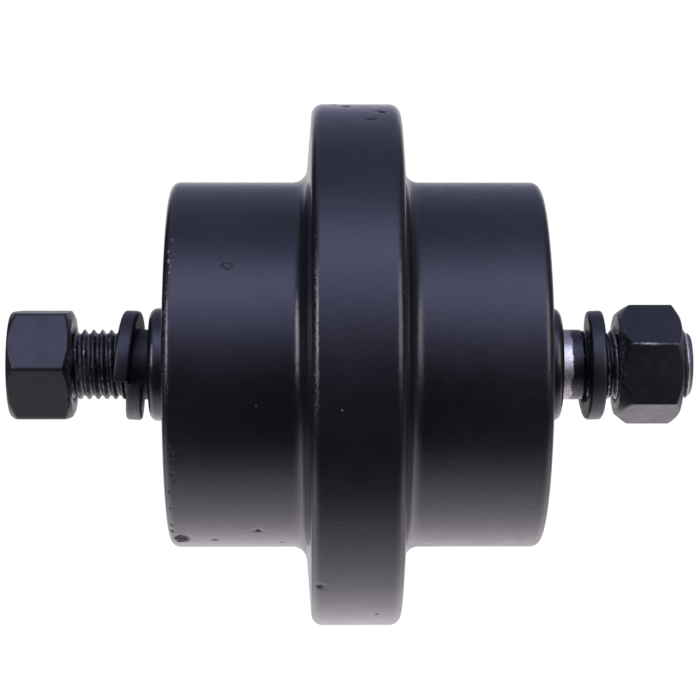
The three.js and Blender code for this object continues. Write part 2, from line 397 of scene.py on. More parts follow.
# Marks that are only coloured, where bare metal shows and where a brown ring was left
BARE_CHIPS = [
    (32.4, -40.3, 0.6, 0.2),
    (30.6, -39.8, 0.3, 0.15),
    (28.6, -40.1, 0.35, 0.15),
    (36.0, -40.4, 0.3, 0.15),
    (40.4, -39.6, 0.3, 0.15),
    (-8.7, -3.5, 0.17, 0.17),
    (-11.8, -21.5, 0.12, 0.12),
    (188.0, 39.9, 0.6, 0.2),
    (262.0, -9.0, 0.5, 0.2),
]
BROWN_RINGS = [(30.8, -27.9, 0.85, 1.35)]


def surface_radius(y):
    """How far out the shell's outside is at a place along it."""
    return FLANGE_RADIUS if abs(y) < FLANGE_RIM_HALF else TREAD_RADIUS


def sink_chips(piece):
    """Sinks the chips and pits into the shell."""
    points = coordinates(piece)
    outward = normals(piece)
    radius = np.hypot(points[:, 0], points[:, 2])
    angle = np.degrees(np.arctan2(points[:, 2], points[:, 0]))
    outside = radius > TREAD_RADIUS - 4
    sink = np.zeros(len(points))
    for at_angle, at_y, size_round, size_along, depth in CHIPS:
        turn = (angle - at_angle + 180) % 360 - 180
        # 0 in the middle of the chip and 1 at its edge
        off = np.hypot(np.radians(turn) * radius / size_round, (points[:, 1] - at_y) / size_along)
        near = np.where(outside & (off < 1.8))[0]
        ragged = 0.45 * rough_noise(points[near], 0.9)
        reach = np.clip((1.15 + ragged - off[near]) * 2.5, 0, 1)
        sink[near] = np.maximum(sink[near], reach * depth)
    moved = (points - outward * sink[:, None]) * MM
    piece.data.vertices.foreach_set("co", moved.astype(np.float32).ravel())
    piece.data.update()


def roller_shell():
    """Two treads and the flange, hollow for the bushes, the seals and the collars' cups."""
    half = [
        (BUSH_BORE, BUSH_BORE_END, 0.4),
        (SEAL_POCKET, BUSH_BORE_END, 0.6),
        (SEAL_POCKET, SEAL_POCKET_END, 0.4),
        (MOUTH_RADIUS, SEAL_POCKET_END, 0.5),
        (MOUTH_RADIUS, SHELL_END - MOUTH_CHAMFER),
        (MOUTH_RADIUS + MOUTH_CHAMFER, SHELL_END),
        (TREAD_RADIUS, SHELL_END, TREAD_EDGE),
        (TREAD_RADIUS, FLANGE_ROOT_HALF, ROOT_FILLET),
        (FLANGE_RADIUS, FLANGE_RIM_HALF, FLANGE_EDGE),
    ]
    piece = turned("shell_body", mirrored(half), steps=640, arc_steps=10, longest=0.8)
    sink_chips(piece)
    place(piece, "roller_shell", "roller", "black_paint")


def stub_radius(y, angle):
    """The threaded stub's surface, with its run-out and its chamfered tip."""
    reach = np.abs(y)
    depth = thread_depth(thread_phase(y, angle), *STUB_FLATS) * GREASED_DEPTH
    run_out = np.clip((reach - THREAD_START) / RUN_OUT, 0, 1)
    tip = TIP_RADIUS + np.clip((SHAFT_END - reach) * 1.05, 0, 2)
    points = around_axis(STUB_RADIUS, y, angle)
    worn = 0.11 * rough_noise(points.reshape(-1, 3), 1.3, 2).reshape(points.shape[:-1])
    return smooth_least(CREST - CREST_WEAR + worn * run_out - depth * run_out, tip, 0.12)


def shaft():
    """Two threaded stubs with centre holes, two journals and the thrust flange between them."""
    steps = 120
    inner = THREAD_START - 0.5
    round_steps = angles(steps)[:, None]
    skin = Skin()
    for sign in (-1, 1):
        low, high = sorted((sign * inner, sign * SHAFT_END))
        helical_patch(skin, stub_radius, low, high, round_steps, 20)
        end_radius = stub_radius(np.full((steps, 1), sign * SHAFT_END), round_steps)
        share = np.array([1, 0.55, 0.3, 0.24, 0])
        y = sign * np.array([SHAFT_END] * 4 + [SHAFT_END - CENTRE_HOLE_DEPTH])
        skin.patch(around_axis(end_radius * share, y, round_steps))
    half = [
        (THRUST_RADIUS, 0),
        (THRUST_RADIUS, THRUST_HALF_WIDTH - THRUST_CHAMFER),
        (THRUST_RADIUS - THRUST_CHAMFER, THRUST_HALF_WIDTH),
        (JOURNAL_RADIUS, THRUST_HALF_WIDTH),
        (JOURNAL_RADIUS, JOURNAL_END - JOURNAL_CHAMFER),
        (JOURNAL_RADIUS - JOURNAL_CHAMFER, JOURNAL_END),
        (CREST, JOURNAL_END),
        (CREST, inner),
    ]
    for sign in (-1, 1):
        skin.patch(revolved(np.array(on_side(sign, half)), steps))
    place(skin.build("shaft_body", 40), "shaft", "shaft_group", "shaft_steel")


def hexagon_angles(vertex, steps_per_side=40):
    """Angles round a hexagon, close together near its edges."""
    share = np.linspace(-1, 1, steps_per_side + 1)[:-1]
    within = 30 * (share + 0.85 * np.sin(math.pi * share) / math.pi)
    return np.radians(np.concatenate([vertex + 30 + 60 * side + within for side in range(6)]))


def nut(side):
    """A hexagon with rounded edges, its own chamfer at each end and a real thread in its bore."""
    middle = NUT_MIDDLE[side]
    half = NUT_HALF_HEIGHT
    angle = hexagon_angles(NUT_VERTEX[side])[:, None]
    from_flat = (np.degrees(angle) - NUT_VERTEX[side]) % 60 - 30
    hexagon = (ACROSS_FLATS / 2) / np.cos(np.radians(from_flat))
    rounding = NUT_ROUNDING[side]
    corner = ACROSS_FLATS / math.sqrt(3) - rounding
    hexagon = smooth_least(hexagon, corner, 1.4 * rounding)
    heights = half * np.sin(np.linspace(-math.pi / 2, math.pi / 2, 73))[None, :]
    outside = hexagon
    for sign, (face_radius, degrees) in zip((-1, 1), NUT_ENDS[side]):
        chamfer = face_radius + (half - sign * heights) / math.tan(math.radians(degrees))
        outside = smooth_least(outside, chamfer, 0.3)
    skin = Skin()
    skin.patch(around_axis(outside, middle + heights, angle))

    def bore_radius(y, at):
        thread = NUT_ROOT - thread_depth(thread_phase(y, at), *NUT_FLATS) * NUT_THREAD_DEPTH
        mouth = NUT_MOUTH_RADIUS - (half - np.abs(y - middle)) * 1.1
        return -smooth_least(-thread, -mouth, 0.08)

    helical_patch(skin, bore_radius, middle - half, middle + half, angle, 14)
    for end, column in ((-half, 0), (half, -1)):
        y = middle + end
        inner = bore_radius(np.full_like(angle, y), angle)
        outer = outside[:, column][:, None]
        share = np.linspace(0, 1, 6)[None, :]
        skin.patch(around_axis(inner + (outer - inner) * share, y, angle))
    piece = skin.build(f"{side}_nut_body", 35)
    if side == "right":
        wear_edge(piece, NUT_VERTEX[side], middle)
    place(piece, f"{side}_nut", f"{side}_nut", "nut_black")


def wear_edge(piece, vertex, middle):
    """Stores for nut_finish() how far the black has worn off one edge, most of it on the inboard half."""
    points = coordinates(piece)
    off_edge = np.abs(np.degrees(np.arctan2(points[:, 2], points[:, 0])) - vertex)
    far_out = np.hypot(points[:, 0], points[:, 2]) > ACROSS_FLATS / 2 + 1.2
    along = np.clip(1 - (points[:, 1] - middle + 1) / 3.5, 0.15, 1)
    worn = np.where(far_out, np.clip(1.6 - off_edge, 0, 1) * along, 0)
    piece.data.attributes.new("edge", "FLOAT", "POINT").data.foreach_set("value", worn.astype(np.float32))


def washer_section(scale, sides_per_corner=6):
    """A rounded rectangle round the bar's middle: (outwards, along)."""
    fillet = WASHER_FILLET
    half_width = WASHER_WIDTH / 2 * scale
    half_height = WASHER_THICKNESS / 2 * scale
    points = []
    for corner in range(4):
        start = corner * math.pi / 2
        x = (half_width - fillet) * (1 if corner in (0, 3) else -1)
        y = (half_height - fillet) * (1 if corner in (0, 1) else -1)
        for step in range(sides_per_corner + 1):
            turn = start + step / sides_per_corner * math.pi / 2
            points.append((x + fillet * math.cos(turn), y + fillet * math.sin(turn)))
    return np.array(points)


def spring_washer(side, sign, middle, start, gap, rise, tilt, lean):
    """One left-handed turn of square bar with rounded ends. start is the angle of the outboard end."""
    start, gap, tilt, lean = (math.radians(degrees) for degrees in (start, gap, tilt, lean))
    sweep = FULL_TURN - gap
    along = np.concatenate([[-0.5, -0.4985], np.linspace(-0.496, 0.496, 150), [0.4985, 0.5]])
    scale = np.concatenate([[0.97, 0.995], np.ones(150), [0.995, 0.97]])
    sections = []
    for share, size in zip(along, scale):
        section = washer_section(size)
        angle = start - sign * (share + 0.5) * sweep
        radius = WASHER_BORE + WASHER_WIDTH / 2 + section[:, 0]
        y = -sign * (section[:, 1] + share * rise)
        sections.append(around_axis(radius, y, angle))
    points = np.array(sections)
    c, s = math.cos(tilt), math.sin(tilt)
    turn_x = np.array([[1, 0, 0], [0, c, -s], [0, s, c]])
    c, s = math.cos(lean), math.sin(lean)
    turn_z = np.array([[c, -s, 0], [s, c, 0], [0, 0, 1]])
    points = points @ (turn_z @ turn_x).T + np.array([0, middle, -WASHER_SAG])
    skin = Skin()
    skin.strip(points)
    place(skin.build(f"{side}_washer_body", 40), f"{side}_spring_washer", f"{side}_washer", "washer_black")


def end_collar(side, sign):
    """A boss with a web and a cup round it, drilled for its pin, and the right one for the plug too."""
    bore = STUB_RADIUS + SEAT_GAP
    groove = bore + O_RING_GROOVE_DEPTH
    corners = [
        (bore, BOSS_INNER_END),
        (BOSS_RADIUS, BOSS_INNER_END, 0.4),
        (BOSS_RADIUS, WEB_INSIDE, 0.6),
        (SEAL_POCKET, WEB_INSIDE, 0.6),
        (SEAL_POCKET, CUP_MOUTH, 0.4),
        (CUP_RADIUS, CUP_MOUTH, 0.5),
        (CUP_RADIUS, WEB_OUTSIDE, 0.8),
        (BOSS_RADIUS, WEB_OUTSIDE, 0.9),
        (BOSS_RADIUS, COLLAR_FACE, BOSS_EDGE),
        (bore, COLLAR_FACE, 0.35),
        (bore, O_RING_PLACE + O_RING_GROOVE_HALF),
        (groove, O_RING_PLACE + O_RING_GROOVE_HALF),
        (groove, O_RING_PLACE - O_RING_GROOVE_HALF),
        (bore, O_RING_PLACE - O_RING_GROOVE_HALF),
    ]
    piece = turned(f"{side}_collar_body", on_side(sign, corners), steps=256)
    hole = bar("pin_hole", PIN_RADIUS + SEAT_GAP, 2, BOSS_RADIUS + 2, CUTTER_CHAMFER)
    lay_along_x(hole, sign * PIN_PLACE)
    cut(piece, hole)
    if side == "right":
        ends = (WEB_INSIDE - 1, WEB_OUTSIDE + 1)
        cut(piece, bar("plug_hole", PLUG_RADIUS + SEAT_GAP, *ends, CUTTER_CHAMFER, 64, PLUG_CENTRE))
    place(piece, f"{side}_end_collar", "shaft_group", "black_paint")


def lay_along_x(piece, y):
    """Turns a bar made along +Y so that it points along -X at the given y."""
    points = coordinates(piece)
    laid = np.stack([-points[:, 1], points[:, 0] + y, points[:, 2]], axis=1) * MM
    piece.data.vertices.foreach_set("co", laid.astype(np.float32).ravel())
    piece.data.update()


def collar_pin(side, sign):
    """A rolled spring pin: a tube with a slit along it."""
    low, high = span(f"{side}_collar_pin")
    slit = math.radians(PIN_SLIT_DEGREES)
    turns = np.linspace(slit / 2, FULL_TURN - slit / 2, 40)
    outer = np.stack([PIN_RADIUS * np.cos(turns), PIN_RADIUS * np.sin(turns)], axis=1)
    section = np.concatenate([outer, outer[::-1] * PIN_BORE_SHARE])
    places = np.array([low[0], low[0] + 0.25, high[0] - 0.25, high[0]])
    sizes = [0.88, 1, 1, 0.88]
    rows = [np.column_stack([np.full(len(section), x), section * size]) for x, size in zip(places, sizes)]
    skin = Skin()
    skin.strip(np.array(rows) + np.array([0, sign * PIN_PLACE, 0]))
    place(skin.build(f"{side}_pin_body"), f"{side}_collar_pin", "shaft_group", "bare_steel")


def torus(name, radius, section, y, steps=160, sides=28):
    """A round ring about Y, of round section."""
    turn = np.linspace(0, FULL_TURN, sides + 1)
    profile = np.stack([radius + section * np.cos(turn), y + section * np.sin(turn)], axis=1)
    skin = Skin()
    skin.patch(revolved(profile, steps))
    return skin.build(name)


def seal_group(side, sign, kind, towards, body):
    """One metal ring of a face seal and its rubber ring. Heights count from where the rings meet."""
    corners = [
        (17.5, 0.65, 0.2),
        (20.5, 0.15),
        (24.2, 0.15, 0.2),
        (24.6, 0.55, 0.2),
        (24.6, 1.05, 0.2),
        (21.0, 1.55, 0.5),
        (20.4, 4.45, 0.4),
        (17.5, 4.65, 0.3),
    ]
    placed = [(radius, sign * (SEAL_FACE + towards * height), *rest) for radius, height, *rest in corners]
    ring = turned(f"{side}_{kind}_ring_body", placed)
    place(ring, f"{side}_seal_ring_{kind}", body, "seal_iron")
    y = sign * (SEAL_FACE + towards * SEAL_RUBBER_PLACE)
    rubber = torus(f"{side}_{kind}_rubber_body", SEAL_RUBBER_RADIUS, SEAL_RUBBER_SECTION, y)
    place(rubber, f"{side}_seal_rubber_{kind}", body, "seal_rubber")


def bush(side, sign):
    """A plain bush with an oil groove round the middle of its bore."""
    low, high = sorted(abs(corner[1]) for corner in span(f"{side}_bush"))
    middle = (low + high) / 2
    corners = [
        (BUSH_INSIDE, low, 0.3),
        (BUSH_OUTSIDE, low, 0.5),
        (BUSH_OUTSIDE, high, 0.5),
        (BUSH_INSIDE, high, 0.3),
        (BUSH_INSIDE, middle + 1.5),
        (OIL_GROOVE_RADIUS, middle + 0.9, 0.3),
        (OIL_GROOVE_RADIUS, middle - 0.9, 0.3),
        (BUSH_INSIDE, middle - 1.5),
    ]
    place(turned(f"{side}_bush_body", on_side(sign, corners)), f"{side}_bush", "roller", "bush_bronze")


def oil_filler_plug():
    """A round plug with a hexagon socket in its outer end."""
    top = PLUG_HIGH[1]
    piece = bar("plug_body", PLUG_RADIUS, PLUG_LOW[1], top, 0.35, 64, PLUG_CENTRE)
    corner = PLUG_HEX / math.sqrt(3)
    cut(piece, bar("socket", corner, top - PLUG_HEX_DEPTH, top + 1, CUTTER_CHAMFER, 6, PLUG_CENTRE))
    place(piece, "oil_filler_plug", "shaft_group", "zinc_plate")


roller_shell()
shaft()
for side, sign in (("left", -1), ("right", 1)):
    nut(side)
    spring_washer(side, sign, *WASHERS[side])
    end_collar(side, sign)
    collar_pin(side, sign)
    seal_group(side, sign, "rotating", -1, "roller")
    seal_group(side, sign, "fixed", 1, "shaft_group")
    bush(side, sign)
    o_ring = torus(f"{side}_o_ring_body", O_RING_RADIUS, O_RING_SECTION, sign * O_RING_PLACE, 96, 16)
    place(o_ring, f"{side}_collar_o_ring", "shaft_group", "seal_rubber")
oil_filler_plug()


# ---- materials ----


class Graph:
    """A node tree, with short calls for what the materials and the studio share."""

    def __init__(self, tree):
        self.nodes, self.links = tree.nodes, tree.links

    def connect(self, source, target):
        """Feeds a socket from another one, or sets it to a value."""
        if isinstance(source, bpy.types.NodeSocket):
            self.links.new(source, target)
        else:
            target.default_value = source

    def maths(self, operation, first, second=0.0):
        node = self.nodes.new("ShaderNodeMath")
        node.operation = operation
        for value, socket in zip((first, second), node.inputs):
            self.connect(value, socket)
        return node.outputs[0]

    def times(self, first, second):
        return self.maths("MULTIPLY", first, second)

    def off(self, value, centre):
        """How far a value is from a centre, either way."""
        return self.maths("ABSOLUTE", self.maths("SUBTRACT", value, centre))

    def ramp(self, value, low, high, to_low=0.0, to_high=1.0):
        """Smoothly from to_low at low to to_high at high. Low may be the higher of the two."""
        node = self.nodes.new("ShaderNodeMapRange")
        node.interpolation_type = "SMOOTHSTEP"
        names = ("Value", "From Min", "From Max", "To Min", "To Max")
        for name, given in zip(names, (value, low, high, to_low, to_high)):
            self.connect(given, node.inputs[name])
        return node.outputs["Result"]


class Finish(Graph):
    """A material built from nodes. Sizes on the surface are in millimetres."""

    def __init__(self, name):
        self.material = bpy.data.materials.new(name)
        self.material.use_nodes = True
        super().__init__(self.material.node_tree)
        self.shader = self.nodes["Principled BSDF"]
        self.place = self.nodes.new("ShaderNodeTexCoord").outputs["Object"]

    def stretched(self, x=1.0, y=1.0, z=1.0):
        node = self.nodes.new("ShaderNodeMapping")
        node.inputs["Scale"].default_value = (x, y, z)
        self.links.new(self.place, node.inputs["Vector"])
        return node.outputs["Vector"]

    def noise(self, size, detail=3.0, roughness=0.55, vector=None, seed=0.0):
        """Noise from 0 to 1 with features of the given size."""
        node = self.nodes.new("ShaderNodeTexNoise")
        node.noise_dimensions = "4D"
        node.inputs["W"].default_value = seed
        node.inputs["Scale"].default_value = 1 / (size * MM)
        node.inputs["Detail"].default_value = detail
        node.inputs["Roughness"].default_value = roughness
        self.links.new(vector or self.place, node.inputs["Vector"])
        return node.outputs["Fac"]

    def specks(self, spacing, radius, share, seed=0.0):
        """1 inside small scattered spots, 0 between them."""
        node = self.nodes.new("ShaderNodeTexVoronoi")
        node.voronoi_dimensions = "4D"
        node.inputs["W"].default_value = seed
        node.inputs["Scale"].default_value = 1 / (spacing * MM)
        self.links.new(self.place, node.inputs["Vector"])
        split = self.nodes.new("ShaderNodeSeparateColor")
        self.links.new(node.outputs["Color"], split.inputs[0])
        inside = self.ramp(node.outputs["Distance"], radius / spacing, 0.5 * radius / spacing)
        return self.times(inside, self.maths("LESS_THAN", split.outputs[0], share))

    def from_marks(self, marks, noise_size, ragged):
        """How far away the nearest of the marks is, where 1 is its edge, made ragged by noise."""
        nearest = FAR_FROM_MARKS
        for angle, y, size_round, size_along, *_ in marks:
            turn = math.radians(angle)
            radius = surface_radius(y)
            middle = Vector((radius * math.cos(turn), y, radius * math.sin(turn)))
            local = self.nodes.new("ShaderNodeMapping")
            local.vector_type = "TEXTURE"
            local.inputs["Location"].default_value = middle * MM
            local.inputs["Rotation"].default_value = (0, -turn, 0)
            local.inputs["Scale"].default_value = Vector((MARK_DEPTH, size_along, size_round)) * MM
            self.links.new(self.place, local.inputs["Vector"])
            length = self.nodes.new("ShaderNodeVectorMath")
            length.operation = "LENGTH"
            self.links.new(local.outputs["Vector"], length.inputs[0])
            nearest = self.maths("MINIMUM", length.outputs["Value"], nearest)
        edge = self.ramp(self.noise(noise_size, 4, 0.7, seed=9), 0.3, 0.7, -ragged, ragged)
        return self.maths("ADD", nearest, edge)

    def attribute(self, name):
        node = self.nodes.new("ShaderNodeAttribute")
        node.attribute_name = name
        return node.outputs["Fac"]

    def axis_parts(self):
        """Distance from the spin axis, place along it and angle round it, in millimetres and degrees."""
        split = self.nodes.new("ShaderNodeSeparateXYZ")
        self.links.new(self.place, split.inputs[0])
        x, y, z = split.outputs
        squares = self.maths("ADD", self.times(x, x), self.times(z, z))
        radius = self.times(self.maths("SQRT", squares), 1 / MM)
        angle = self.times(self.maths("ARCTAN2", z, x), 360 / FULL_TURN)
        return radius, self.times(y, 1 / MM), angle

    def mix(self, share, first, second, kind="RGBA"):
        """Blends two colours, or two values where kind is VALUE."""
        node = self.nodes.new("ShaderNodeMix")
        if kind == "RGBA":
            node.data_type = kind
        for name, given in zip(("Factor", "A", "B"), (share, first, second)):
            wanted = "VALUE" if name == "Factor" else kind
            socket = [s for s in node.inputs if s.name == name and s.type == wanted][0]
            self.connect((*given, 1) if isinstance(given, tuple) else given, socket)
        return [s for s in node.outputs if s.type == kind][0]

    def mix_value(self, share, first, second):
        return self.mix(share, first, second, "VALUE")

    def bump(self, height, depth, previous=None):
        """Raises the surface by height, where 1 stands for the depth."""
        node = self.nodes.new("ShaderNodeBump")
        node.inputs["Distance"].default_value = depth * MM
        self.links.new(height, node.inputs["Height"])
        if previous:
            self.links.new(previous, node.inputs["Normal"])
        return node.outputs["Normal"]

    def finish(self, colour, roughness, metallic=0.0, normal=None):
        self.connect(colour, self.shader.inputs["Base Color"])
        self.connect(roughness, self.shader.inputs["Roughness"])
        self.connect(metallic, self.shader.inputs["Metallic"])
        if normal:
            self.links.new(normal, self.shader.inputs["Normal"])
        return self.material


# A mark's colour reaches this deep, and a point with no mark near it is this many mark sizes away
MARK_DEPTH = 4
FAR_FROM_MARKS = 9.0
# How far in from the end of its surface the rubbed line at an edge lies, a line that is partly wear and
# partly a painted highlight
RUBBED_HIGHLIGHT_INSET = 1.1

# Paint, and what is on it or under it. A pair is a dark and a light shade of one thing
PAINT = (0.0048, 0.0046, 0.0060), (0.0076, 0.0072, 0.0092)
PAINT_GRAIN = (0.017, 0.016, 0.019)
DUST = (0.11, 0.10, 0.115)
# Lighter, bluish rubbed paint, which is partly wear and partly a painted highlight on the left edges
RUBBED_PAINT_AND_HIGHLIGHT = (0.15, 0.145, 0.175)
PITTED = (0.004, 0.0035, 0.004), (0.03, 0.02, 0.018)
BARE_CHIP = (0.17, 0.165, 0.185)
BROWN_RING = (0.010, 0.006, 0.006)

# Nuts and washers
NUT_BLACK = (0.0040, 0.0038, 0.0054), (0.0078, 0.0074, 0.0098)
NUT_WORN_EDGE = (0.42, 0.40, 0.40)
NUT_GREASE = (0.05, 0.047, 0.046)
# Light grey stipple on the inboard ends, partly grease marks and partly painted glints
NUT_STIPPLE_AND_GLINTS = (0.17, 0.165, 0.165)
WASHER_BLACK = (0.0040, 0.0038, 0.0054), (0.0075, 0.0072, 0.0096)

# Shaft
DULL_STEEL = (0.15, 0.14, 0.13), (0.44, 0.41, 0.38)
# Lighter steel used only in front of the bare band, as a painted highlight
FRONT_HIGHLIGHT_STEEL = (0.48, 0.45, 0.43), (0.98, 0.94, 0.90)
OILY_BLACK = (0.0045, 0.0043, 0.0056), (0.017, 0.016, 0.0165)
GREASE_BESIDE_NUT = (0.075, 0.072, 0.062)
TIP_GREASE = (0.058, 0.055, 0.058)
# Worn crest and tip colours, which also serve as painted glints
WORN_CREST_GLINTS = (0.36, 0.34, 0.33)
WORN_TIP_GLINTS = (0.42, 0.39, 0.38)

RUBBER = (0.012, 0.012, 0.012), (0.026, 0.026, 0.027)


def paint_base(finish):
    """Black satin paint: cloudy colour, slight orange peel, uneven gloss and a little dust."""
    clouds = finish.noise(14, 4)
    colour = finish.mix(finish.ramp(clouds, 0.35, 0.7), *PAINT)
    grain = finish.ramp(finish.noise(0.45, 4, 0.7, seed=10), 0.35, 0.7)
    colour = finish.mix(finish.times(grain, 0.3), colour, PAINT_GRAIN)
    fine_dust = finish.times(finish.specks(1.3, 0.07, 0.12, 2), 0.5)
    colour = finish.mix(finish.maths("MAXIMUM", finish.specks(3.2, 0.16, 0.16, 1), fine_dust), colour, DUST)
    roughness = finish.ramp(finish.noise(5, 4, 0.6, seed=3), 0.25, 0.75, 0.20, 0.27)
    peel = finish.bump(finish.noise(0.9, 3, 0.5, seed=5), 0.037)
    peel = finish.bump(finish.noise(0.3, 2, 0.5, seed=7), 0.021, peel)
    peel = finish.bump(finish.noise(5.5, 3, 0.6, seed=8), 0.07, peel)
    return colour, roughness, peel


def shell_paint():
    """The paint, a little drier on the right tread, rubbed thin at two edges with a painted highlight along
    them, chipped and pitted.
    """
    finish = Finish("black_satin_paint")
    colour, roughness, normal = paint_base(finish)
    radius, y, angle = finish.axis_parts()

    right_tread = finish.ramp(y, FLANGE_ROOT_HALF, FLANGE_ROOT_HALF + 2)
    roughness = finish.maths("ADD", roughness, finish.times(right_tread, 0.045))
    dry_spray = finish.times(right_tread, finish.noise(0.4, 3, 0.6, seed=15))
    normal = finish.bump(dry_spray, 0.016, normal)

    # Rubbed at the left edges of the left tread and of the flange, most of all in front: partly wear and
    # partly a painted highlight on these rounded edges
    tread_end = finish.ramp(finish.off(y, RUBBED_HIGHLIGHT_INSET - SHELL_END), 0.8, 0.2)
    flange_end = finish.ramp(finish.off(y, RUBBED_HIGHLIGHT_INSET - FLANGE_RIM_HALF), 0.7, 0.25)
    flange_end = finish.times(flange_end, finish.ramp(radius, FLANGE_RADIUS - 4, FLANGE_RADIUS - 2))
    rubbed_and_highlight = finish.maths("MAXIMUM", tread_end, flange_end)
    rubbed_and_highlight = finish.times(rubbed_and_highlight, finish.ramp(radius, TREAD_RADIUS - 2.2, TREAD_RADIUS - 1.5))
    rubbed_and_highlight = finish.times(rubbed_and_highlight, finish.ramp(finish.off(angle, 8), 24, 8, 0.08, 1.0))
    normal = finish.bump(finish.times(rubbed_and_highlight, finish.noise(0.8, 4, 0.7, seed=14)), 0.04, normal)
    scratches = finish.ramp(finish.noise(0.45, 5, 0.8, finish.stretched(1, 1.6, 0.6), 13), 0.50, 0.60)
    rubbed_and_highlight = finish.times(rubbed_and_highlight, scratches)
    colour = finish.mix(finish.times(rubbed_and_highlight, 0.8), colour, RUBBED_PAINT_AND_HIGHLIGHT)

    chip = finish.ramp(finish.from_marks(CHIPS, 0.7, 0.5), 1.15, 0.85)
    pitted = finish.mix(finish.ramp(finish.noise(0.5, 4, 0.7, seed=11), 0.35, 0.7), *PITTED)
    colour = finish.mix(chip, colour, pitted)
    roughness = finish.mix_value(chip, roughness, 0.75)
    bare = finish.ramp(finish.from_marks(BARE_CHIPS, 0.35, 0.7), 1.2, 0.7)
    colour = finish.mix(bare, colour, BARE_CHIP)
    ring = finish.ramp(finish.off(finish.from_marks(BROWN_RINGS, 0.9, 0.35), 0.8), 0.34, 0.12)
    colour = finish.mix(ring, colour, BROWN_RING)
    roughness = finish.mix_value(finish.maths("MAXIMUM", bare, ring), roughness, 0.8)
    return finish.finish(colour, roughness, 0.0, normal)


def plain_paint():
    finish = Finish("black_satin_paint_small_parts")
    colour, roughness, normal = paint_base(finish)
    return finish.finish(colour, roughness, 0.0, normal)


def nut_finish():
    """Blackened steel with one worn edge, grease at the bore, and grey stipple towards the collar that is
    partly grease marks and partly painted glints.
    """
    finish = Finish("blackened_nut")
    colour = finish.mix(finish.ramp(finish.noise(7, 4, seed=21), 0.35, 0.7), *NUT_BLACK)
    roughness = finish.ramp(finish.noise(3, 4, 0.6, seed=22), 0.25, 0.75, 0.33, 0.45)
    uneven = finish.ramp(finish.noise(1.4, 5, 0.75, seed=23), 0.44, 0.56)
    edge = finish.times(finish.attribute("edge"), uneven)
    colour = finish.mix(edge, colour, NUT_WORN_EDGE)
    metallic = finish.times(edge, 0.9)

    radius, y, _ = finish.axis_parts()
    grease = finish.ramp(radius, 12.4, 9.8)
    rings = finish.noise(0.5, 5, 0.75, finish.stretched(0.35, 1, 0.35), 24)
    mottled = finish.times(grease, finish.ramp(rings, 0.45, 0.62))
    colour = finish.mix(mottled, colour, NUT_GREASE)
    roughness = finish.mix_value(mottled, roughness, 0.26)

    reach = finish.maths("ABSOLUTE", y)
    left_inboard = finish.times(finish.ramp(reach, 65.4, 64.0), 0.8)
    right_inboard = finish.ramp(reach, 60.9, 59.4)
    inboard = finish.mix_value(finish.maths("GREATER_THAN", y, 0.0), left_inboard, right_inboard)
    # Stipple on the inboard ends: partly grease marks, partly painted glints
    stipple_and_glints = finish.noise(0.4, 5, 0.8, finish.stretched(0.6, 1, 0.6), 28)
    stipple_and_glints = finish.times(inboard, finish.ramp(stipple_and_glints, 0.52, 0.60))
    colour = finish.mix(stipple_and_glints, colour, NUT_STIPPLE_AND_GLINTS)
    roughness = finish.mix_value(stipple_and_glints, roughness, 0.3)

    normal = finish.bump(finish.noise(0.8, 3, 0.5, seed=25), 0.014)
    normal = finish.bump(finish.noise(4, 3, 0.5, seed=27), 0.05, normal)
    normal = finish.bump(finish.times(grease, finish.noise(0.5, 5, 0.7, seed=26)), 0.12, normal)
    return finish.finish(colour, roughness, metallic, normal)


def washer_finish():
    finish = Finish("blackened_spring_steel")
    colour = finish.mix(finish.ramp(finish.noise(4, 4, seed=31), 0.35, 0.7), *WASHER_BLACK)
    roughness = finish.ramp(finish.noise(1.8, 4, 0.6, seed=32), 0.25, 0.75, 0.36, 0.47)
    normal = finish.bump(finish.noise(0.6, 4, 0.6, seed=33), 0.028)
    return finish.finish(colour, roughness, 0.0, normal)


